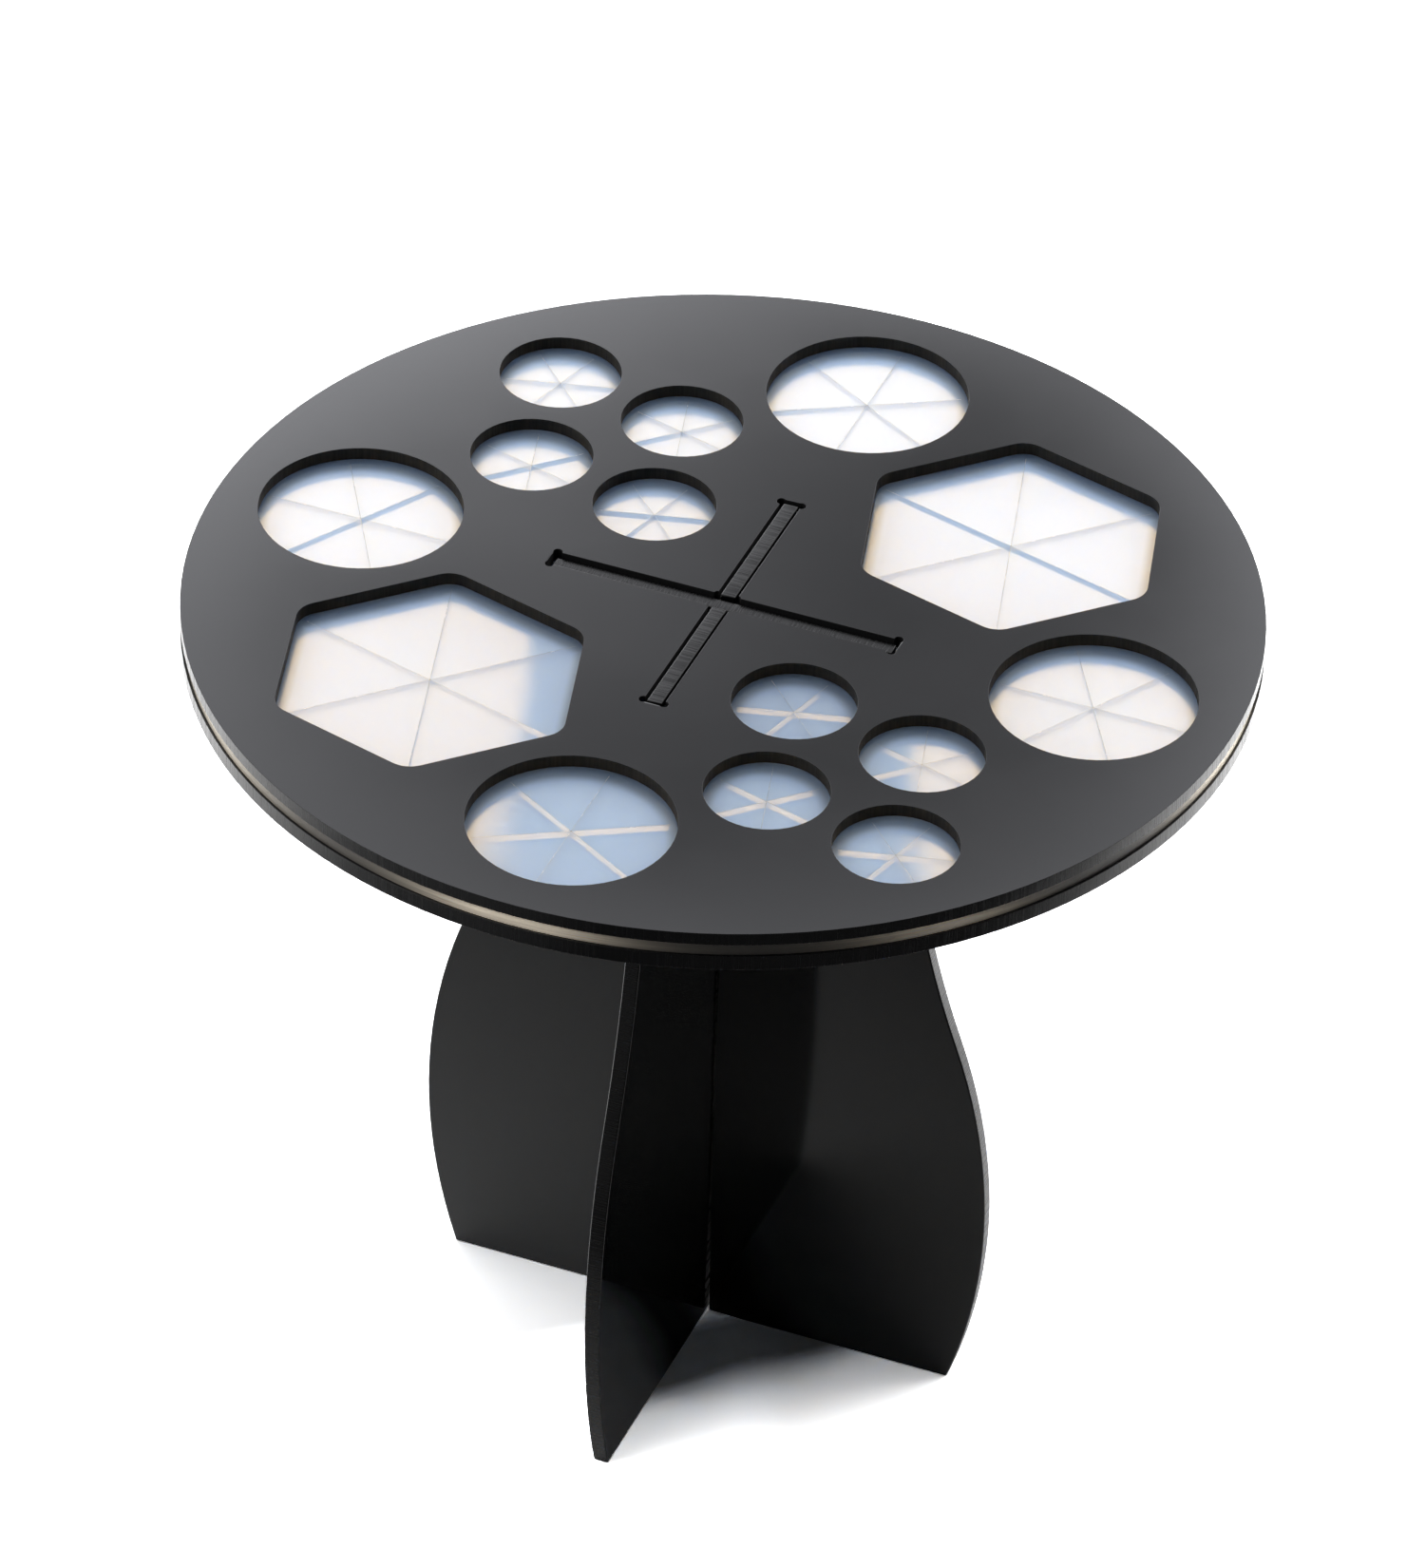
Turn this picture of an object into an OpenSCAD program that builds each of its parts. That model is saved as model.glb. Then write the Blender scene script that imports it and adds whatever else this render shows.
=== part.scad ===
// Brush drying stand. A round tray of two acrylic discs holds a slit soft sheet
// between them, and stands on two acrylic leg plates that halve into a cross.
// The stand rests on the plane z = 0 with its axis along z.

/* [Tray] */
// Diameter of the two discs
tray_d = 200; // [180:1:220]
// Thickness of the upper disc
upper_t = 2.5; // [2:0.1:4]
// Thickness of the slit sheet
sheet_t = 2.5; // [1.5:0.1:3]
// Thickness of the lower disc
lower_t = 3; // [2:0.1:5]
// Distance of the sheet's edge behind the edge of the discs
sheet_inset = 0.5; // [0:0.1:2]

/* [Large round holes] */
// Distance of the large holes' near edges from the axis
large_inner_r = 53.6; // [50:0.1:58]
// Width of the discs' rim outside the large holes
large_rim = 8; // [4:0.1:12]

/* [Hexagon holes] */
// Width of the hexagons across their flats
hex_af = 53.2; // [48:0.2:56]
// Radius of the hexagons' rounded corners
hex_corner_r = 5; // [2:0.1:8]
// Width of the discs' rim outside the hexagons' corners
hex_rim = 11.9; // [6:0.1:16]

/* [Small hole groups] */
// Diameter of the small holes
small_d = 23.2; // [16:0.2:25]
// Distance between the two side holes of a group
group_width = 30.6; // [29:0.2:32]
// Distance of the groups' near edges from the axis
group_inner_r = 21.4; // [18:0.1:24]
// Width of the discs' rim outside the groups' outer holes
group_rim = 9.4; // [6:0.1:12]

/* [Slits and flaps] */
// Width of the slits
slit_w = 0.4; // [0.3:0.05:0.8]
// Uncut sheet between the end of a slit and the wall of its hole
slit_end_gap = 1.2; // [1:0.1:2]
// Gap between a flap and the sheet around its fold
fold_clear = 0.15; // [0.1:0.05:0.3]

/* [Leg plates] */
// Thickness of the leg plates
plate_t = 3; // [2:0.1:5]
// Height of the shoulders that carry the tray
shoulder_z = 160; // [150:1:190]
// Width of the legs at their widest
belly_w = 114.8; // [100:0.2:130]
// Height at which the legs are widest
belly_z = 38.5; // [30:0.5:50]
// Radius of the outward curve of the legs
belly_r = 122; // [100:1:150]
// Width of the legs below the tray
waist_w = 76; // [72:0.2:84]
// Radius of the inward curve of the legs
waist_r = 200; // [150:1:220]
// Height at which the two plates meet in their notches
halving_z = 83; // [60:1:100]

/* [Tabs and slot] */
// Width of the tabs on top of the legs
tab_w = 67.6; // [60:0.2:70]
// Distance of the cross leg's tab below the face of the tray
cross_recess = 0.9; // [0:0.1:2]
// Distance of the slotted leg's tab below the face of the tray
slotted_recess = 0.2; // [0:0.1:2]
// Gap on each side of a tab in its slot
tab_side_clear = 0.5; // [0.2:0.05:1]
// Gap at each end of a tab in its slot
tab_end_clear = 0.8; // [0.2:0.1:1.5]
// Radius of the round reliefs at the slot's ends
relief_r = 0.9; // [0.6:0.1:1.2]
// Radius of the round reliefs where the slots cross
crossing_relief_r = 0.6; // [0.4:0.1:1]
// Gap on each side of a plate in the other plate's notch
halving_clear = 0.2; // [0.1:0.05:0.5]
// Widening of a notch on each side at its mouth
notch_lead = 0.3; // [0:0.05:0.8]
// Height over which a notch widens
notch_lead_h = 30; // [10:1:40]

/* [Hidden] */
$fn = 96;
cut = 1;
slits = 3;
flaps = 2 * slits;
flap_angle = 360 / flaps;
half_angle = flap_angle / 2;

// Heights of the tray's layers
sheet_z = shoulder_z + lower_t;
upper_z = sheet_z + sheet_t;
top_z = upper_z + upper_t;
cross_top_z = top_z - cross_recess;
slotted_top_z = top_z - slotted_recess;

// Cross-shaped slot for the tabs
slot_w = plate_t + 2 * tab_side_clear;
slot_l = tab_w + 2 * tab_end_clear;

// Share of a relief's radius by which its middle lies inside the slot's end
relief_share = 0.8;

// The legs' two curves meet at a common tangent
belly_x = belly_w / 2 - belly_r;
waist_x = waist_w / 2 + waist_r;
waist_z = belly_z + sqrt(pow(belly_r + waist_r, 2) - pow(waist_x - belly_x, 2));
turn_share = belly_r / (belly_r + waist_r);
turn_x = belly_x + turn_share * (waist_x - belly_x);
turn_z = belly_z + turn_share * (waist_z - belly_z);

// A flap's corners are cut back, so that neighbours pass each other as they bend
corner_spare = 0.1;
corner_pass = pow(sheet_t, 2) / (8 * slit_w);
corner_cut = corner_pass * tan(half_angle) + slit_w / (2 * cos(half_angle)) + corner_spare;

function polar(r, angle) = [r * cos(angle), r * sin(angle)];

// The large holes and the groups fill the room between their near edges and the rim
large_d = tray_d / 2 - large_rim - large_inner_r;
large_ring_r = large_inner_r + large_d / 2;
group_length = tray_d / 2 - group_rim - group_inner_r - small_d;
group_ring_r = group_inner_r + (small_d + group_length) / 2;

// Radius to a hexagon's rounded corner, and the hexagons' place inside the rim
hex_tip_r = hex_af / 2 / cos(half_angle) - hex_corner_r * (1 / cos(half_angle) - 1);
hex_ring_r = tray_d / 2 - hex_rim - hex_tip_r;

// Holes are [centre, direction of the first slit]
large_holes = [for (angle = [0, 90, 180, 270]) [polar(large_ring_r, angle), angle]];
hex_holes = [for (angle = [45, 225]) [polar(hex_ring_r, angle), angle]];
small_holes = [
    for (group = [135, 315], side = [0, 90, 180, 270])
        [
            polar(group_ring_r, group) + polar((side % 180 == 0 ? group_length : group_width) / 2, group + side),
            group + side
        ]
];

// Radius to the end of the slits in each kind of hole
hex_slit_r = hex_tip_r - slit_end_gap;
large_slit_r = large_d / 2 - slit_end_gap;
small_slit_r = small_d / 2 - slit_end_gap;

// Holes with jointed flaps are [name, hole, slit radius]
letters = "abcd";
flap_holes = concat(
    [for (i = [0:len(hex_holes) - 1]) [str("hex_", letters[i]), hex_holes[i], hex_slit_r]],
    [for (i = [0:len(large_holes) - 1]) [str("round_", letters[i]), large_holes[i], large_slit_r]]
);
function flap_name(hole, k) = str(hole[0], "_flap_", k);

// Two crossing slots with reliefs in the corners that meet a tab
module tab_slot() {
    relief_x = slot_l / 2 - relief_share * relief_r;
    for (angle = [0, 90])
        rotate(angle) {
            square([slot_l, slot_w], center = true);
            for (x = [-relief_x, relief_x], y = [-slot_w / 2, slot_w / 2])
                translate([x, y])
                    circle(r = relief_r);
        }
    for (x = [-slot_w / 2, slot_w / 2], y = [-slot_w / 2, slot_w / 2])
        translate([x, y])
            circle(r = crossing_relief_r);
}

// Hexagon with rounded corners and one corner on the x axis
module rounded_hexagon() {
    corner_steps = 8;
    centre_r = (hex_af / 2 - hex_corner_r) / cos(half_angle);
    polygon([
        for (corner = [0:flap_angle:359], step = [0:corner_steps])
            polar(centre_r, corner) + polar(hex_corner_r, corner + flap_angle * (step / corner_steps - 0.5))
    ]);
}

module disc_holes() {
    for (hole = large_holes)
        translate(hole[0])
            circle(d = large_d);
    for (hole = small_holes)
        translate(hole[0])
            circle(d = small_d);
    for (hole = hex_holes)
        translate(hole[0])
            rotate(hole[1])
                rounded_hexagon();
}

module disc(z, thickness) {
    translate([0, 0, z])
        linear_extrude(thickness)
            difference() {
                circle(d = tray_d);
                disc_holes();
                tab_slot();
            }
}

// Outline of one flap, with its tip near the origin and its fold across the x axis.
// slit_side is the distance of its edges from the slits' middles.
module flap_outline(slit_r, slit_side, grow) {
    side_y = slit_r * sin(half_angle) - corner_cut + grow;
    side_x = (side_y + slit_side / cos(half_angle)) / tan(half_angle);
    base_x = slit_r * cos(half_angle) + sheet_t / 2 + grow;
    polygon([
        [slit_side / sin(half_angle), 0],
        [side_x, -side_y],
        [base_x, -side_y],
        [base_x, side_y],
        [side_x, side_y]
    ]);
}

module flap(hole, k) {
    slit_r = hole[2];
    fold_x = slit_r * cos(half_angle);
    color("aliceblue")
        translate(concat(hole[1][0], sheet_z + sheet_t / 2))
            rotate(hole[1][1] + (k - 0.5) * flap_angle)
                intersection() {
                    linear_extrude(sheet_t, center = true)
                        flap_outline(slit_r, slit_w / 2, 0);
                    rotate([90, 0, 0])
                        linear_extrude(2 * slit_r, center = true) {
                            translate([0, -sheet_t / 2])
                                square([fold_x, sheet_t]);
                            translate([fold_x, 0])
                                circle(d = sheet_t, $fn = 8);
                        }
                }
}

module slit_sheet() {
    color("aliceblue")
        translate([0, 0, sheet_z])
            linear_extrude(sheet_t)
                difference() {
                    circle(d = tray_d - 2 * sheet_inset);
                    tab_slot();
                    for (hole = flap_holes, k = [1:flaps])
                        translate(hole[1][0])
                            rotate(hole[1][1] + (k - 0.5) * flap_angle)
                                flap_outline(hole[2], -slit_w / 2, fold_clear);
                    for (hole = small_holes, k = [0:slits - 1])
                        translate(hole[0])
                            rotate(hole[1] + k * flap_angle)
                                square([2 * small_slit_r, slit_w], center = true);
                }
}

module upper_disc() {
    color([0.08, 0.08, 0.09])
        disc(upper_z, upper_t);
}

module lower_disc() {
    color([0.08, 0.08, 0.09])
        disc(shoulder_z, lower_t);
}

// Belly, inward curve and waist of a leg. The belly's top lies inside the waist,
// so the two join over a wide area.
module leg_curves() {
    intersection() {
        translate([belly_x, belly_z])
            circle(r = belly_r);
        translate([-belly_x, belly_z])
            circle(r = belly_r);
    }
    difference() {
        polygon([
            [-waist_w / 2, belly_z],
            [waist_w / 2, belly_z],
            [turn_x, turn_z],
            [turn_x, waist_z],
            [-turn_x, waist_z],
            [-turn_x, turn_z]
        ]);
        for (x = [-waist_x, waist_x])
            translate([x, waist_z])
                circle(r = waist_r);
    }
    translate([-waist_w / 2, belly_z])
        square([waist_w, shoulder_z - belly_z]);
}

// Outline of a leg plate: the curves between the floor and the shoulders, and the tab
module leg_outline(tab_top_z) {
    intersection() {
        translate([-belly_w / 2, 0])
            square([belly_w, shoulder_z]);
        leg_curves();
    }
    translate([-tab_w / 2, belly_z])
        square([tab_w, tab_top_z - belly_z]);
}

// Notch for the other plate, from its closed end to its mouth at the plate's edge
module notch(end_z, mouth_z) {
    outward = mouth_z > end_z ? 1 : -1;
    end_x = plate_t / 2 + halving_clear;
    mouth_x = end_x + notch_lead;
    polygon([
        [-end_x, end_z],
        [-end_x, mouth_z - outward * notch_lead_h],
        [-mouth_x, mouth_z],
        [-mouth_x, mouth_z + outward * cut],
        [mouth_x, mouth_z + outward * cut],
        [mouth_x, mouth_z],
        [end_x, mouth_z - outward * notch_lead_h],
        [end_x, end_z]
    ]);
}

// Leg plate standing along the x axis
module leg_plate(tab_top_z, notch_end_z, notch_mouth_z) {
    color([0.06, 0.06, 0.07])
        rotate([90, 0, 0])
            linear_extrude(plate_t, center = true)
                difference() {
                    leg_outline(tab_top_z);
                    notch(notch_end_z, notch_mouth_z);
                }
}

module cross_leg() {
    leg_plate(cross_top_z, halving_z + halving_clear, 0);
}

module slotted_leg() {
    rotate(90)
        leg_plate(slotted_top_z, halving_z, slotted_top_z);
}

slotted_leg();
cross_leg();
lower_disc();
slit_sheet();
upper_disc();
for (hole = flap_holes, k = [1:flaps])
    flap(hole, k);
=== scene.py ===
import math

import bmesh
import bpy
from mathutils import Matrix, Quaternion, Vector


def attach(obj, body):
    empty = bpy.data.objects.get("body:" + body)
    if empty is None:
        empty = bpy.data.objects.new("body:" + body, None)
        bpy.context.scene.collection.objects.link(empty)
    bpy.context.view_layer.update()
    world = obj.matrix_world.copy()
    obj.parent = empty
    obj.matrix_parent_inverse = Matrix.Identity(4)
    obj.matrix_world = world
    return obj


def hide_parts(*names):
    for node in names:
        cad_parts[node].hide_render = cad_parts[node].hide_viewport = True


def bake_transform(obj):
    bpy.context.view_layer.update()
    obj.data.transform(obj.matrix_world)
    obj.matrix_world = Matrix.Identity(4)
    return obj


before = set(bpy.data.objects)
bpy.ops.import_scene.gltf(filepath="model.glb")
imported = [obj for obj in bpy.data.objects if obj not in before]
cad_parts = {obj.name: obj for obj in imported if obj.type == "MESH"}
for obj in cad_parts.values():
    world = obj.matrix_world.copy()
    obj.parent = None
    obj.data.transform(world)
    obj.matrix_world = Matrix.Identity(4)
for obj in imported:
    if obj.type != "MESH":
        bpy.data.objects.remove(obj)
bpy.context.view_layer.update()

# Sizes are in millimetres, as in part.scad, and become metres where a mesh is made. Lengths that only
# shaders use are in metres, as their coordinates are.
MM = 0.001
SHARP_ANGLE = math.radians(30)

# Tray, and the sheet in it, which is a hair clear of the discs that hold it
TRAY_R = 100.0
TRAY_TOP = 168.0
SHEET_LOW = 163.02
SHEET_HIGH = 165.48
SHEET_R = 99.5
SHEET_RIM_POINTS = 360
SHEET_RIM_BAND = 1.0
SLOT_W = 4.0
SLOT_L = 69.2

# Six flaps meet in every hole, so half a flap takes up 30 degrees
FLAPS = 6
FLAP_STEP = 360 / FLAPS
HALF_FLAP = math.radians(FLAP_STEP / 2)

# Holes. A hexagon's corner points away from the tray's axis.
LARGE_R = 19.2
LARGE_RING_R = 72.8
HEX_APOTHEM = 26.6
HEX_CORNER_R = 5.0
HEX_RIM = 11.9
HEX_TIP_R = HEX_APOTHEM / math.cos(HALF_FLAP) - HEX_CORNER_R * (1 / math.cos(HALF_FLAP) - 1)
HEX_RING_R = TRAY_R - HEX_RIM - HEX_TIP_R
SMALL_R = 11.6
GROUP_RING_R = 56.0
GROUP_LENGTH = 46.0
GROUP_WIDTH = 30.6

# Slits stop short of the wall, and close just past the fold. The tip of a flap is slightly blunt.
SLIT_END_GAP = 1.2
SLIT_GAP = 0.04
SLIT_CLOSE = 0.15
TIP_BLUNT = 0.1

# Border of the flaps, hidden between the discs, and the gap in which it joins the sheet
HIDDEN_W = 2.8
JOIN_GAP = 0.05
JOIN_POINTS = 48

# The part of a flap that bends, measured from its fold towards the wall and towards the tip
BEND_OUT = 1.0
BEND_IN = 2.6

# Rows and columns of a flap's mesh
FLAP_COLUMNS = 8
PLAIN_ROWS = 6
BEND_IN_ROWS = 6
BEND_OUT_ROWS = 3

# Rounding of the rigid pieces' edges
DISC_EDGE_R = 0.4
LEG_EDGE_R = 0.3
ROUNDING_STEPS = 3
ROUNDED_ANGLE = math.radians(50)
WELD_GAP = 0.001

# Painted light on the sheet's outer rim, which stands for light that the sheet carries from a hole: full up
# to the first distance from the hole, then fading over the second
PAINTED_GLOW_REACH = 8.0
PAINTED_GLOW_FADE = 3.4

# Camera of the photograph
CAMERA_PLACE = Vector((567.98, -1481.95, 1320.63)) * MM
CAMERA_FORWARD = Vector((-0.28639, 0.74582, -0.60145))
CAMERA_ROLL = math.radians(1.738)
LENS_PX = 11212.3
PHOTO_H = 1650
SENSOR_W = 36.0

# Directions along the floor: the way the camera looks, its right, and out of the legs' front corner
BACKWARD = Vector((CAMERA_FORWARD.x, CAMERA_FORWARD.y, 0)).normalized()
RIGHTWARD = Vector((BACKWARD.y, -BACKWARD.x, 0))
CORNER_OUT = Vector((0.686, -0.727, 0))

# Pairs of ranges below are ramps: the range that comes in, and the range that goes out. NOISE_SPAN is the
# range in which most noise lies, and LEVEL leaves only the level part of a vector.
WHITE = (1.0, 1.0, 1.0, 1.0)
BLACK = (0.0, 0.0, 0.0, 1.0)
NOISE_SPAN = (0.3, 0.7)
LEVEL = (1.0, 1.0, 0.0)

# Black acrylic of the tray and of the legs. The legs' copy has a lower IOR than the tray's, so that it
# reflects less: that is painted shade.
TRAY_FINISH = {
    "base": (0.0065, 0.0068, 0.0078, 1.0),
    "face_rough": (0.10, 0.16),
    "wall_rough": (0.7, 0.85),
    "ior": 1.49,
}
LEG_FINISH_AND_PAINTED_SHADE = {
    "base": (0.005, 0.0052, 0.0055, 1.0),
    "face_rough": (0.05, 0.09),
    "wall_rough": (0.16, 0.34),
    "ior": 1.38,
}

# Which faces are smooth and which are cut, the cut's fine lines, the tray's smoother rim, and the haze and
# grain of the faces. A relief is (strength, depth).
SMOOTH_FACE = ((0.3, 0.8), (0.0, 1.0))
CUT_SHADE = 0.8
LINES_ACROSS = 2400.0
LINES_ALONG = 40.0
RIM_PLACE = ((0.098, 0.099), (0.0, 1.0))
RIM_ROUGH = (0.14, 0.32)
HAZE_SCALE = 14.0
GRAIN_SCALE = 900.0
GRAIN_HEIGHT = 0.02
ACRYLIC_RELIEF = (0.25, 0.00005)

# Silicone. Painted shade darkens the light that the sheet scatters beside the walls of the holes, and this
# painted shade leans to the viewer. The rim's bright colour is above 1, because it is painted light that
# stands for light leaving the sheet there.
SILICONE_IOR = 1.41
SILICONE_SHADOW = (0.86, 0.82, 0.74, 1.0)
SHEET_CLOUDS = 60.0
SHEET_GRAIN = 420.0
SHEET_ROUGH = (0.19, 0.27)
SHEET_RELIEF = (0.06, 0.0001)
CUT_MARKS = (300.0, 300.0, 1200.0)
CUT_ROUGH = (0.16, 0.3)
CUT_CLEAR = (0.67, 0.62, 0.5, 1.0)
CUT_MATT = (0.28, 0.31, 0.34, 1.0)
EDGE_STREAKS = (25.0, 25.0, 2600.0)
EDGE_ROUGH = (0.3, 0.5)
EDGE_RELIEF = (0.3, 0.0001)
EDGE_LINES = ((0.35, 0.65), (0.7, 1.1))
# Colours of the sheet's rim: painted shade where no light from a hole reaches it, painted light where it
# does
EDGE_PAINTED_SHADE = (0.10, 0.095, 0.09, 1.0)
EDGE_PAINTED_LIGHT = (2.1, 1.85, 1.48, 1.0)
PAINTED_WALL_SHADE = ((0.0, 0.0026), (0.5, 1.0))
PAINTED_WALL_SHADE_LEAN = -0.0022 * BACKWARD

# Studio light: dim from the front right
DIM_SIDE = Vector((0.66, -0.70, 0.27)).normalized()
SKY_LEVEL = ((0.1, 0.55), (1.25, 0.02))

# Floor, and its tone by the place on it: painted light, brighter to the back and the left, in what it throws
# back, and brighter to the front in what shows through the sheet; what is seen, with painted shade that
# darkens to the right in the legs' corner
FLOOR_HALF = 4000.0
REAR_PAINTED_LIGHT = ((-0.21, 0.13), (0.10, 3.6))
REAR_PAINTED_LIGHT_LEAN = ((-0.15, 0.1), (0.8, 1.05))
LEFT_PAINTED_LIGHT = ((-0.26, -0.04), (0.36, 0.0))
THROUGH_PAINTED_LIGHT = ((-0.2, 0.1), (2.1, 1.5))
SEEN_TONE = 3.1
CORNER_TONE = ((0.005, 0.02), (15.0, 9.8))
CORNER_EDGE = ((-0.004, 0.008), (0.0, 1.0))

# Painted shadow in the legs' corner: the worked-out share of the sky that a leg hides, by the distance from
# the leg and along it, and the tone that is left at a share of open sky, as the camera and as other rays
# find it. Where no leg stands, the painted shadow goes.
LEG_REACH = 0.05
LEG_NEAR = ((0.0015, LEG_REACH), (1.0, 0.0))
LEG_END = ((0.02, 0.07), (0.5, 0.0))
LEG_POWER = 1.35
PAINTED_SHADOW_SKY = 0.58
PAINTED_CONTACT_LEFT = ((0.42, PAINTED_SHADOW_SKY), (0.05, 1.0))
PAINTED_PIT_LEFT = ((0.34, 0.46), (0.06, 1.0))
LEG_GONE = ((0.23, 0.48), (0.0, 1.0))
SKY_SAMPLES = 16

# Card that the tray's face reflects: its dark middle, the ring and the lean around it, its light edge
CARD_PLACE = Vector((-172, 454, 521))
CARD_HALF_W = 260.0
CARD_HALF_H = 200.0
CARD_MIDDLE = (0.07, -0.026, 0.0)
CARD_RING_SHAPE = (1.0, 0.63, 1.0)
CARD_RING = ((0.0, 0.3), (0.28, 2.7))
CARD_LEAN_WAY = (0.218, -0.497, 0.0)
CARD_LEAN = ((-0.1, 0.1), (0.2, 4.0))
CARD_EDGE_SHAPE = (1.0, 1.66, 1.0)
CARD_EDGE = ((0.095, 0.14), (0.0, 1.13))
CARD_COLOUR = (0.97, 0.98, 1.03, 1.0)

# Slots of the materials on the sheet and its flaps: faces, outer border, walls of the slits
BORDER_SLOT = 1
CUT_SLOT = 2


def polar(radius, degrees):
    angle = math.radians(degrees)
    return Vector((radius * math.cos(angle), radius * math.sin(angle)))


# Holes are (name, centre, direction of the first slit), the small ones without a name
LARGE_HOLES = []
for letter, angle in zip("abcd", (0, 90, 180, 270)):
    LARGE_HOLES.append((f"round_{letter}", polar(LARGE_RING_R, angle), angle))
HEX_HOLES = []
for letter, angle in zip("ab", (45, 225)):
    HEX_HOLES.append((f"hex_{letter}", polar(HEX_RING_R, angle), angle))
SMALL_HOLES = []
for group in (135, 315):
    for side in (0, 90, 180, 270):
        reach = (GROUP_LENGTH if side % 180 == 0 else GROUP_WIDTH) / 2
        SMALL_HOLES.append((polar(GROUP_RING_R, group) + polar(reach, group + side), group + side))

# Circles are (centre, radius)
CIRCLES = [(centre, LARGE_R) for _, centre, _ in LARGE_HOLES]
CIRCLES += [(centre, SMALL_R) for centre, _ in SMALL_HOLES]


def new_object(name, mesh_source):
    """Turns a bmesh in millimetres into an object in metres."""
    bmesh.ops.recalc_face_normals(mesh_source, faces=mesh_source.faces)
    for face in mesh_source.faces:
        face.smooth = True
    for edge in mesh_source.edges:
        edge.smooth = edge.calc_face_angle(0) < SHARP_ANGLE
    bmesh.ops.scale(mesh_source, vec=(MM, MM, MM), verts=mesh_source.verts)
    mesh = bpy.data.meshes.new(name)
    mesh_source.to_mesh(mesh)
    mesh_source.free()
    obj = bpy.data.objects.new(name, mesh)
    bpy.context.collection.objects.link(obj)
    return obj


def rectangle(name, half_w, half_h):
    bm = bmesh.new()
    corners = [(-half_w, -half_h), (half_w, -half_h), (half_w, half_h), (-half_w, half_h)]
    bm.faces.new([bm.verts.new((x, y, 0)) for x, y in corners])
    return new_object(name, bm)


class Nodes:
    """Short ways to add and join shader nodes in one material or world."""

    # Sockets of a Mix node for the factor and the two values, and its output, for each kind of value
    MIX_SOCKETS = {"FLOAT": ((0, 2, 3), 0), "RGBA": ((0, 6, 7), 2)}

    def __init__(self, owner):
        owner.use_nodes = True
        self.owner = owner
        self.tree = owner.node_tree
        self.tree.nodes.clear()

    def add(self, kind, inputs=None, **settings):
        node = self.tree.nodes.new("ShaderNode" + kind)
        for name, value in settings.items():
            setattr(node, name, value)
        for name, value in (inputs or {}).items():
            self.feed(node.inputs[name], value)
        return node

    def feed(self, socket, value):
        if isinstance(value, bpy.types.NodeSocket):
            self.tree.links.new(value, socket)
        else:
            socket.default_value = value

    def feed_all(self, node, sockets, values):
        for socket, value in zip(sockets, values):
            self.feed(node.inputs[socket], value)

    def place(self):
        return self.add("TexCoord").outputs["Object"]

    def math(self, operation, *values):
        node = self.add("Math", operation=operation)
        self.feed_all(node, range(3), values)
        return node.outputs[0]

    def vector_math(self, operation, output, *values):
        node = self.add("VectorMath", operation=operation)
        self.feed_all(node, range(3), values)
        return node.outputs[output]

    def dot(self, first, second):
        return self.vector_math("DOT_PRODUCT", "Value", first, second)

    def scaled_length(self, vector, scale):
        scaled = self.vector_math("MULTIPLY", "Vector", vector, scale)
        return self.vector_math("LENGTH", "Value", scaled)

    def ramp(self, value, from_range, to_range, interpolation="SMOOTHSTEP"):
        node = self.add("MapRange", {"Value": value}, interpolation_type=interpolation)
        self.feed_all(node, ("From Min", "From Max", "To Min", "To Max"), (*from_range, *to_range))
        return node.outputs["Result"]

    def noise(self, vector, scale, detail, stretch=(1, 1, 1)):
        mapping = self.add("Mapping", {"Vector": vector, "Scale": stretch})
        node = self.add("TexNoise", {"Vector": mapping.outputs[0], "Scale": scale, "Detail": detail})
        return node.outputs["Fac"]

    def bump(self, height, strength, distance):
        node = self.add("Bump", {"Height": height, "Strength": strength, "Distance": distance})
        return node.outputs[0]

    def mix(self, kind, *values):
        node = self.add("Mix", data_type=kind)
        sockets, output = self.MIX_SOCKETS[kind]
        self.feed_all(node, sockets, values)
        return node.outputs[output]

    def mix_color(self, factor, first, second):
        return self.mix("RGBA", factor, first, second)

    def mix_value(self, factor, first, second):
        return self.mix("FLOAT", factor, first, second)

    def mix_shader(self, factor, first, second):
        node = self.add("MixShader")
        self.feed_all(node, range(3), (factor, first, second))
        return node.outputs[0]

    def add_shader(self, first, second):
        node = self.add("AddShader")
        self.feed_all(node, range(2), (first, second))
        return node.outputs[0]

    def shader(self, kind, inputs=None):
        return self.add(kind, inputs).outputs[0]

    def output(self, shader, kind="OutputMaterial"):
        """Ends the material or world with this shader, and returns that material or world."""
        self.add(kind, {"Surface": shader})
        return self.owner


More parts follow.
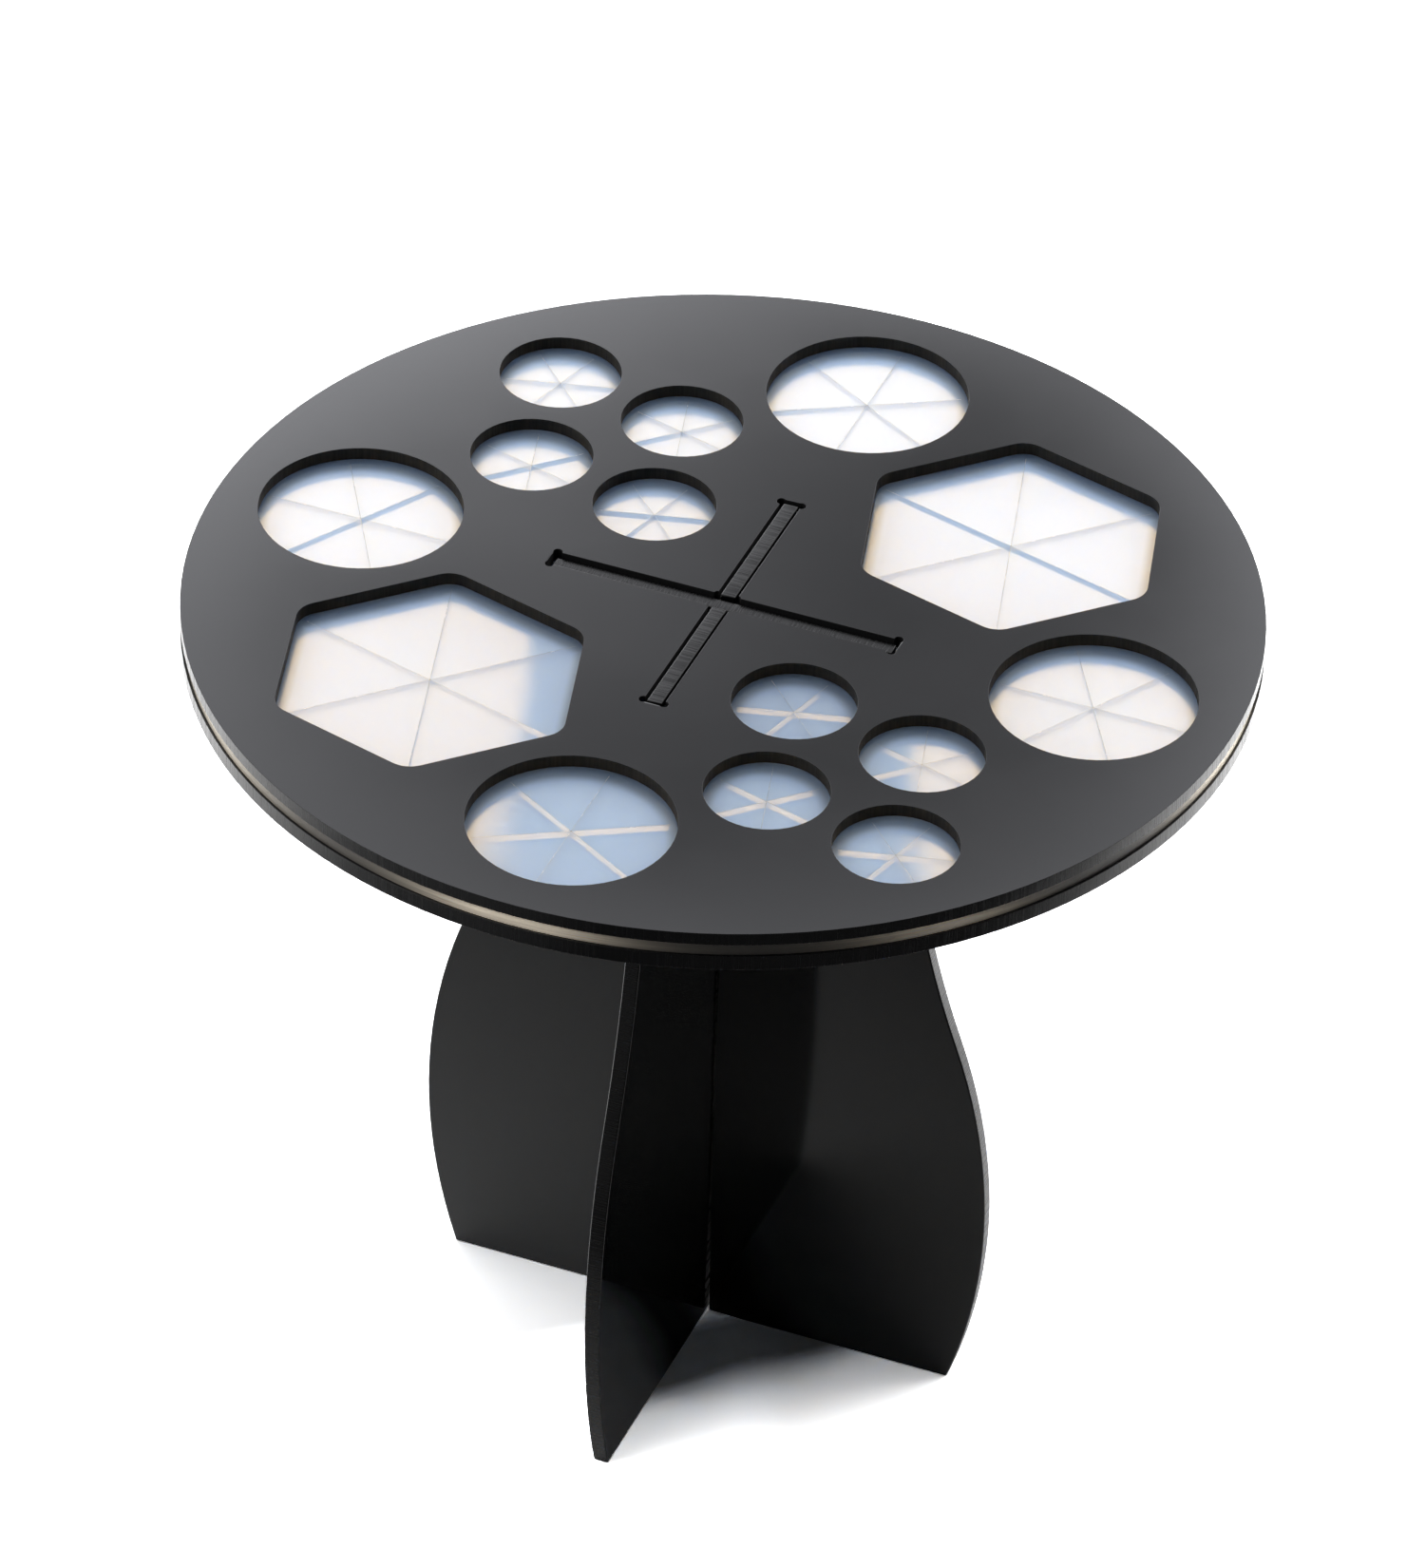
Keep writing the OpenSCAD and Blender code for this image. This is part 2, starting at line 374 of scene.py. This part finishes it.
def acrylic(name, thickness_axis, base, face_rough, wall_rough, ior):
    """Black acrylic. Faces across thickness_axis are smooth, the others are laser-cut edges.

    The tray's rim is smoother than the walls of its holes."""
    nodes = Nodes(bpy.data.materials.new(name))
    coordinates = nodes.add("TexCoord")
    place = coordinates.outputs["Object"]
    normal = nodes.add("SeparateXYZ", {"Vector": coordinates.outputs["Normal"]})
    across = nodes.math("ABSOLUTE", normal.outputs[thickness_axis])
    face = nodes.ramp(across, *SMOOTH_FACE)

    spread = [LINES_ACROSS, LINES_ACROSS, LINES_ACROSS]
    spread["XYZ".index(thickness_axis)] = LINES_ALONG
    striation = nodes.noise(place, 1.0, detail=3.0, stretch=spread)
    rim = nodes.ramp(nodes.scaled_length(place, LEVEL), *RIM_PLACE)
    haze = nodes.noise(place, HAZE_SCALE, detail=4.0)
    grain = nodes.noise(place, GRAIN_SCALE, detail=2.0)

    smooth = nodes.ramp(haze, NOISE_SPAN, face_rough)
    wall_cut = nodes.ramp(striation, NOISE_SPAN, wall_rough)
    rim_cut = nodes.ramp(striation, NOISE_SPAN, RIM_ROUGH)
    cut = nodes.mix_value(rim, wall_cut, rim_cut)
    cut_base = tuple(CUT_SHADE * c for c in base[:3]) + (1.0,)

    cut_height = nodes.math("MULTIPLY", striation, nodes.math("SUBTRACT", 1.0, face))
    height = nodes.math("ADD", cut_height, nodes.math("MULTIPLY", grain, GRAIN_HEIGHT))
    surface = nodes.shader(
        "BsdfPrincipled",
        {
            "Base Color": nodes.mix_color(face, cut_base, base),
            "Roughness": nodes.mix_value(face, cut, smooth),
            "Normal": nodes.bump(height, *ACRYLIC_RELIEF),
            "IOR": ior,
        },
    )
    return nodes.output(surface)


def wall_gap(nodes, place):
    """Distance of a point in a hole from the foot of the wall's leaning painted shade."""
    leaned = nodes.vector_math("SUBTRACT", "Vector", place, PAINTED_WALL_SHADE_LEAN)
    level_place = nodes.vector_math("MULTIPLY", "Vector", leaned, LEVEL)
    gaps = []
    for centre, radius in CIRCLES:
        distance = nodes.vector_math("DISTANCE", "Value", level_place, (centre * MM).to_3d())
        gaps.append(nodes.math("SUBTRACT", radius * MM, distance))
    for _, centre, direction in HEX_HOLES:
        offset = nodes.vector_math("SUBTRACT", "Vector", level_place, (centre * MM).to_3d())
        distance = 0.0
        for k in range(FLAPS // 2):
            across = nodes.dot(offset, polar(1, direction + (k + 0.5) * FLAP_STEP).to_3d())
            distance = nodes.math("MAXIMUM", distance, nodes.math("ABSOLUTE", across))
        gaps.append(nodes.math("SUBTRACT", HEX_APOTHEM * MM, distance))
    widest = gaps[0]
    for gap in gaps[1:]:
        widest = nodes.math("MAXIMUM", widest, gap)
    return widest


def milky_output(nodes, rough, relief, clear, reflected, passed):
    """Ends a material as a clear body that scatters light, under a glossy skin. Its shadow is a tint."""
    see = nodes.shader("BsdfRefraction", {"Color": clear, "Roughness": rough, "IOR": SILICONE_IOR, **relief})
    scatter = nodes.shader("BsdfDiffuse", {"Color": reflected})
    glow = nodes.shader("BsdfTranslucent", {"Color": passed})
    body = nodes.add_shader(see, nodes.add_shader(scatter, glow))
    gloss = nodes.shader("BsdfGlossy", {"Roughness": rough, **relief})
    fresnel = nodes.add("Fresnel", {"IOR": SILICONE_IOR, **relief}).outputs[0]
    surface = nodes.mix_shader(fresnel, body, gloss)
    tint = nodes.shader("BsdfTransparent", {"Color": SILICONE_SHADOW})
    return nodes.output(nodes.mix_shader(nodes.add("LightPath").outputs["Is Shadow Ray"], surface, tint))


def silicone(name, clear, reflected, passed):
    """Milky silicone: what it lets through is warm, what it scatters is blue, with painted shade on the
    scattered light beside the walls.
    """
    nodes = Nodes(bpy.data.materials.new(name))
    place = nodes.place()
    # Painted shade beside the walls of the holes
    left_by_painted_shade = nodes.ramp(wall_gap(nodes, place), *PAINTED_WALL_SHADE)
    clouds = nodes.noise(place, SHEET_CLOUDS, detail=3.0)
    grain = nodes.noise(place, SHEET_GRAIN, detail=2.0)
    rough = nodes.ramp(clouds, NOISE_SPAN, SHEET_ROUGH)
    relief = {"Normal": nodes.bump(grain, *SHEET_RELIEF)}
    painted_shade_reflected = nodes.mix_color(left_by_painted_shade, BLACK, reflected)
    painted_shade_passed = nodes.mix_color(left_by_painted_shade, BLACK, passed)
    return milky_output(nodes, rough, relief, clear, painted_shade_reflected, painted_shade_passed)


def silicone_cut(name):
    """Walls of the slits: the knife leaves them slightly matt."""
    nodes = Nodes(bpy.data.materials.new(name))
    marks = nodes.noise(nodes.place(), 1.0, detail=3.0, stretch=CUT_MARKS)
    rough = nodes.ramp(marks, NOISE_SPAN, CUT_ROUGH)
    return milky_output(nodes, rough, {}, CUT_CLEAR, CUT_MATT, CUT_MATT)


def silicone_join(name):
    """Where two pieces of the sheet meet they are one body, so nothing shows."""
    nodes = Nodes(bpy.data.materials.new(name))
    return nodes.output(nodes.shader("BsdfTransparent"))


def silicone_rim_painted_light(name):
    """Outer edge of the sheet: painted light where light from a hole would reach it, painted shade
    elsewhere, and fine lines along it.
    """
    nodes = Nodes(bpy.data.materials.new(name))
    lines = nodes.noise(nodes.place(), 1.0, detail=4.0, stretch=EDGE_STREAKS)
    # The glow attribute holds the rim's painted light from the holes
    glow = nodes.add("Attribute", attribute_name="glow")
    share = nodes.math("MULTIPLY", glow.outputs["Fac"], nodes.ramp(lines, *EDGE_LINES))
    surface = nodes.shader(
        "BsdfPrincipled",
        {
            "Base Color": nodes.mix_color(share, EDGE_PAINTED_SHADE, EDGE_PAINTED_LIGHT),
            "Roughness": nodes.ramp(lines, NOISE_SPAN, EDGE_ROUGH),
            "Normal": nodes.bump(lines, *EDGE_RELIEF),
            "IOR": SILICONE_IOR,
        },
    )
    return nodes.output(surface)


TRAY_ACRYLIC = acrylic("tray_acrylic", "Z", **TRAY_FINISH)
SLOTTED_ACRYLIC = acrylic("slotted_leg_acrylic", "X", **LEG_FINISH_AND_PAINTED_SHADE)
CROSS_ACRYLIC = acrylic("cross_leg_acrylic", "Y", **LEG_FINISH_AND_PAINTED_SHADE)
SILICONE = silicone(
    "silicone",
    clear=(0.645, 0.515, 0.305, 1.0),
    reflected=(0.16, 0.222, 0.35, 1.0),
    passed=(0.195, 0.288, 0.45, 1.0),
)
SILICONE_CUT = silicone_cut("silicone_cut")
SILICONE_JOIN = silicone_join("silicone_join")
SILICONE_RIM_PAINTED_LIGHT = silicone_rim_painted_light("silicone_rim_painted_light")


def dress(node, material, edge_r):
    """Gives a rigid piece its material, and rounds its edges as cutting and polishing leave them."""
    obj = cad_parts[node]
    obj.data.materials.clear()
    obj.data.materials.append(material)
    weld = obj.modifiers.new("weld", "WELD")
    weld.merge_threshold = WELD_GAP * MM
    bevel = obj.modifiers.new("rounding", "BEVEL")
    bevel.width = edge_r * MM
    bevel.segments = ROUNDING_STEPS
    bevel.limit_method = "ANGLE"
    bevel.angle_limit = ROUNDED_ANGLE
    bevel.loop_slide = False
    obj.modifiers.new("normals", "WEIGHTED_NORMAL")


dress("upper_disc", TRAY_ACRYLIC, DISC_EDGE_R)
dress("lower_disc", TRAY_ACRYLIC, DISC_EDGE_R)
dress("slotted_leg", SLOTTED_ACRYLIC, LEG_EDGE_R)
dress("cross_leg", CROSS_ACRYLIC, LEG_EDGE_R)


def turned(point, degrees):
    angle = math.radians(degrees)
    return Vector((
        point.x * math.cos(angle) - point.y * math.sin(angle),
        point.x * math.sin(angle) + point.y * math.cos(angle),
    ))


def circle_loop(centre, radius, count):
    return [centre + polar(radius, 360 * i / count) for i in range(count)]


def hexagon_loop(centre, apothem, direction):
    corner_r = apothem / math.cos(HALF_FLAP)
    return [centre + polar(corner_r, direction + i * FLAP_STEP) for i in range(FLAPS)]


def cross_loop(length, width):
    """Outline of the cross-shaped slot for the tabs."""
    arm = [
        Vector((width / 2, width / 2)),
        Vector((length / 2, width / 2)),
        Vector((length / 2, -width / 2)),
    ]
    return [turned(point, turn) for turn in (0, -90, -180, -270) for point in arm]


def star_loop(centre, radius, gap, direction):
    """Outline of three slits that cross in the middle of a hole."""
    points = []
    for i in range(FLAPS):
        angle = direction + i * FLAP_STEP
        along = polar(radius, angle)
        aside = polar(gap / 2, angle + 90)
        points.append(centre + along - aside)
        points.append(centre + along + aside)
        points.append(centre + polar(gap, angle + FLAP_STEP / 2))
    return points


def painted_rim_light(point):
    """Share of the painted light from the holes at a point on the sheet's rim."""
    holes = CIRCLES + [(centre, HEX_TIP_R) for _, centre, _ in HEX_HOLES]
    gaps = [(point - centre).length - radius for centre, radius in holes]
    return min(sum(math.exp((PAINTED_GLOW_REACH - gap) / PAINTED_GLOW_FADE) for gap in gaps), 1.0)


def sheet_body():
    """The sheet between the discs, with openings for the flaps and the slits of the small holes."""
    loops = [circle_loop(Vector((0, 0)), SHEET_R, SHEET_RIM_POINTS), cross_loop(SLOT_L, SLOT_W)]
    for _, centre, _ in LARGE_HOLES:
        loops.append(circle_loop(centre, LARGE_R + HIDDEN_W + JOIN_GAP, JOIN_POINTS))
    for _, centre, direction in HEX_HOLES:
        loops.append(hexagon_loop(centre, HEX_APOTHEM + HIDDEN_W + JOIN_GAP, direction))
    for centre, direction in SMALL_HOLES:
        loops.append(star_loop(centre, SMALL_R - SLIT_END_GAP, SLIT_GAP, direction))

    bm = bmesh.new()
    edges = []
    for loop in loops:
        verts = [bm.verts.new((p.x, p.y, SHEET_LOW)) for p in loop]
        edges += [bm.edges.new((verts[i - 1], verts[i])) for i in range(len(verts))]
    bmesh.ops.triangle_fill(bm, use_beauty=True, edges=edges)
    lifted = bmesh.ops.extrude_face_region(bm, geom=bm.faces[:])
    top = [item for item in lifted["geom"] if isinstance(item, bmesh.types.BMVert)]
    bmesh.ops.translate(bm, verts=top, vec=(0, 0, SHEET_HIGH - SHEET_LOW))

    bm.normal_update()
    walls = [face for face in bm.faces if abs(face.normal.z) < 0.5]
    for face in walls:
        middle = face.calc_center_median().xy
        if middle.length > SHEET_R - SHEET_RIM_BAND:
            face.material_index = BORDER_SLOT
        elif any((middle - centre).length < SMALL_R for centre, _ in SMALL_HOLES):
            face.material_index = CUT_SLOT
    # Painted light on the rim, kept per point as the glow attribute
    glow = bm.verts.layers.float.new("glow")
    for vert in bm.verts:
        vert[glow] = painted_rim_light(vert.co.xy)

    obj = new_object("slit_sheet_soft", bm)
    for material in (SILICONE, SILICONE_RIM_PAINTED_LIGHT, SILICONE_CUT):
        obj.data.materials.append(material)
    return obj


def flap_rows(fold, arc_r, base):
    """Rows of points of one flap from its tip to its hidden border, in the flap's own x and y.

    Its sides are slits up to the fold, and join its neighbours beyond that. A round hole's
    flap ends in the arc arc_r, a hexagon's in the straight line x = base."""
    slope = math.tan(HALF_FLAP)
    slit_side = SLIT_GAP / 2 / math.cos(HALF_FLAP)
    tip = SLIT_GAP + TIP_BLUNT
    bend_start = fold - BEND_IN
    xs = [tip + (bend_start - tip) * i / PLAIN_ROWS for i in range(PLAIN_ROWS)]
    xs += [bend_start + BEND_IN * i / BEND_IN_ROWS for i in range(BEND_IN_ROWS + 1)]
    xs += [fold + SLIT_CLOSE]
    xs += [fold + BEND_OUT * i / BEND_OUT_ROWS for i in range(1, BEND_OUT_ROWS + 1)]

    shares = [2 * j / FLAP_COLUMNS - 1 for j in range(FLAP_COLUMNS + 1)]
    rows = []
    for x in xs:
        half = x * slope - (slit_side if x <= fold else 0)
        rows.append([Vector((x, half * share)) for share in shares])
    if arc_r:
        border = [Vector((arc_r * math.cos(s * HALF_FLAP), arc_r * math.sin(s * HALF_FLAP))) for s in shares]
    else:
        border = [Vector((base, share * base * slope)) for share in shares]
    middle = [(a + b) / 2 for a, b in zip(rows[-1], border)]
    return rows + [middle, border]


def flap_piece(name, centre, direction, fold, rows):
    """One closed flap of the sheet."""
    bm = bmesh.new()
    layers = []
    for z in (SHEET_LOW, SHEET_HIGH):
        layer = []
        for row in rows:
            points = [centre + turned(p, direction) for p in row]
            layer.append([bm.verts.new((p.x, p.y, z)) for p in points])
        layers.append(layer)
    for layer in layers:
        for a, b in zip(layer, layer[1:]):
            for j in range(FLAP_COLUMNS):
                bm.faces.new((a[j], a[j + 1], b[j + 1], b[j]))
    low, high = layers
    borders = [
        ([row[0] for row in low], [row[0] for row in high]),
        ([row[-1] for row in low], [row[-1] for row in high]),
        (low[0], high[0]),
        (low[-1], high[-1]),
    ]
    for below, above in borders:
        for j in range(len(below) - 1):
            wall = bm.faces.new((below[j], below[j + 1], above[j + 1], above[j]))
            from_tip = (wall.calc_center_median().xy - centre).dot(polar(1, direction))
            wall.material_index = BORDER_SLOT if from_tip > fold else CUT_SLOT
    obj = new_object(name, bm)
    for material in (SILICONE, SILICONE_JOIN, SILICONE_CUT):
        obj.data.materials.append(material)
    return obj


def add_flaps(holes, fold, rows):
    """Flaps of some holes. The tray clamps each flap's border."""
    for hole_name, centre, first in holes:
        for k in range(1, FLAPS + 1):
            direction = first + (k - 0.5) * FLAP_STEP
            node = f"{hole_name}_flap_{k}"
            piece = flap_piece(node + "_soft", centre, direction, fold, rows)
            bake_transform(piece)
            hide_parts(node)


sheet = sheet_body()
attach(sheet, "tray")
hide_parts("slit_sheet")

large_fold = (LARGE_R - SLIT_END_GAP) * math.cos(HALF_FLAP)
add_flaps(LARGE_HOLES, large_fold, flap_rows(large_fold, LARGE_R + HIDDEN_W, None))
hex_fold = (HEX_TIP_R - SLIT_END_GAP) * math.cos(HALF_FLAP)
add_flaps(HEX_HOLES, hex_fold, flap_rows(hex_fold, None, HEX_APOTHEM + HIDDEN_W))


def photo_camera():
    data = bpy.data.cameras.new("camera")
    data.sensor_width = SENSOR_W
    data.lens = LENS_PX * SENSOR_W / PHOTO_H
    camera = bpy.data.objects.new("camera", data)
    camera.rotation_mode = "QUATERNION"
    roll = Quaternion((0, 0, 1), CAMERA_ROLL)
    camera.rotation_quaternion = CAMERA_FORWARD.to_track_quat("-Z", "Y") @ roll
    camera.location = CAMERA_PLACE
    bpy.context.collection.objects.link(camera)
    bpy.context.scene.camera = camera


def studio_world():
    """White to the camera. Its light comes from above, the back and the left."""
    world = bpy.data.worlds.new("studio")
    bpy.context.scene.world = world
    nodes = Nodes(world)
    towards = nodes.dot(nodes.add("TexCoord").outputs["Generated"], DIM_SIDE)
    light = nodes.shader("Background", {"Color": WHITE, "Strength": nodes.ramp(towards, *SKY_LEVEL)})
    white = nodes.shader("Background", {"Color": WHITE, "Strength": 1.0})
    seen = nodes.add("LightPath").outputs["Is Camera Ray"]
    nodes.output(nodes.mix_shader(seen, light, white), "OutputWorld")


def sky_past_leg(nodes, away, along):
    """Worked-out share of the sky that one leg leaves open to the floor beside it, for the painted shadow.
    """
    near = nodes.ramp(away, *LEG_NEAR, interpolation="LINEAR")
    end = nodes.ramp(along, *LEG_END)
    hidden = nodes.math("MULTIPLY", nodes.math("POWER", near, LEG_POWER), end)
    return nodes.math("SUBTRACT", 1.0, hidden)


def floor_sky(nodes, place):
    """Worked-out share of the sky that both legs leave open to the floor, for the painted shadow."""
    axes = nodes.add("SeparateXYZ", {"Vector": place})
    from_slotted = nodes.math("ABSOLUTE", axes.outputs["X"])
    from_cross = nodes.math("ABSOLUTE", axes.outputs["Y"])
    past_slotted = sky_past_leg(nodes, from_slotted, from_cross)
    past_cross = sky_past_leg(nodes, from_cross, from_slotted)
    return nodes.math("MULTIPLY", past_slotted, past_cross)


def floor_tone(nodes, place, path, painted_shadow_corner):
    """Tone of the floor without the legs' painted shadow, for the kind of ray that asks: painted light,
    brighter to the back and left for rays it throws back, and to the front through the sheet.
    """
    back = nodes.dot(place, BACKWARD)
    aside = nodes.dot(place, RIGHTWARD)
    rear_painted_light = nodes.math("MULTIPLY", nodes.ramp(back, *REAR_PAINTED_LIGHT), nodes.ramp(aside, *REAR_PAINTED_LIGHT_LEAN))
    thrown_painted_light = nodes.math("MAXIMUM", rear_painted_light, nodes.ramp(aside, *LEFT_PAINTED_LIGHT))
    straight = nodes.math("SUBTRACT", 1.0, path.outputs["Is Diffuse Ray"])
    through = nodes.math("MULTIPLY", path.outputs["Is Transmission Ray"], straight)
    tone = nodes.mix_value(through, thrown_painted_light, nodes.ramp(back, *THROUGH_PAINTED_LIGHT))
    seen = nodes.mix_value(painted_shadow_corner, SEEN_TONE, nodes.ramp(aside, *CORNER_TONE))
    return nodes.mix_value(path.outputs["Is Camera Ray"], tone, seen)


def floor_painted_shadow(nodes, path, open_sky):
    """Painted shadow: the share of the floor's tone that is left in the legs' corner."""
    contact = nodes.ramp(open_sky, *PAINTED_CONTACT_LEFT)
    pit = nodes.ramp(open_sky, *PAINTED_PIT_LEFT)
    shade = nodes.mix_value(path.outputs["Is Camera Ray"], pit, contact)
    found_sky = nodes.add("AmbientOcclusion", {"Distance": LEG_REACH}, samples=SKY_SAMPLES).outputs["AO"]
    leg_gone = nodes.ramp(nodes.math("SUBTRACT", found_sky, open_sky), *LEG_GONE)
    return nodes.mix_value(leg_gone, shade, 1.0)


def floor():
    """White floor that keeps the stand's shadow, with painted shadow added in the legs' front corner, open
    to a look from below.
    """
    obj = rectangle("floor", FLOOR_HALF, FLOOR_HALF)
    nodes = Nodes(bpy.data.materials.new("floor"))
    place = nodes.place()
    path = nodes.add("LightPath")
    # Front corner of the legs, where the floor gets painted shadow
    painted_shadow_corner = nodes.ramp(nodes.dot(place, CORNER_OUT), *CORNER_EDGE)
    open_sky = floor_sky(nodes, place)
    tone = floor_tone(nodes, place, path, painted_shadow_corner)
    painted_shadow_tone = nodes.math("MULTIPLY", tone, floor_painted_shadow(nodes, path, open_sky))
    lit = nodes.shader("BsdfDiffuse", {"Color": tone})
    shaded = nodes.shader("BsdfDiffuse", {"Color": painted_shadow_tone})
    in_painted_shadow = nodes.math("MULTIPLY", painted_shadow_corner, nodes.math("LESS_THAN", open_sky, PAINTED_SHADOW_SKY))
    matt = nodes.mix_shader(in_painted_shadow, lit, shaded)
    from_below = nodes.add("NewGeometry").outputs["Backfacing"]
    clear = nodes.shader("BsdfTransparent")
    obj.data.materials.append(nodes.output(nodes.mix_shader(from_below, matt, clear)))


def reflection_card():
    """Soft card behind the stand, seen only as the tray's reflection: darkest right of its middle."""
    obj = rectangle("reflection_card", CARD_HALF_W, CARD_HALF_H)
    obj.location = CARD_PLACE * MM
    obj.rotation_mode = "QUATERNION"
    obj.rotation_quaternion = (Vector((0, 0, TRAY_TOP)) - CARD_PLACE).to_track_quat("Z", "Y")
    nodes = Nodes(bpy.data.materials.new("reflection_card"))
    place = nodes.place()
    offset = nodes.vector_math("SUBTRACT", "Vector", place, CARD_MIDDLE)
    ring = nodes.ramp(nodes.scaled_length(offset, CARD_RING_SHAPE), *CARD_RING)
    lean = nodes.ramp(nodes.dot(offset, CARD_LEAN_WAY), *CARD_LEAN)
    edge = nodes.ramp(nodes.scaled_length(place, CARD_EDGE_SHAPE), *CARD_EDGE)
    strength = nodes.math("ADD", nodes.math("MULTIPLY", ring, lean), edge)
    light = nodes.shader("Emission", {"Color": CARD_COLOUR, "Strength": strength})
    obj.data.materials.append(nodes.output(light))
    obj.visible_camera = False
    obj.visible_diffuse = False
    obj.visible_shadow = False
    obj.visible_transmission = False


photo_camera()
studio_world()
floor()
reflection_card()
bpy.context.scene.view_settings.view_transform = "Standard"
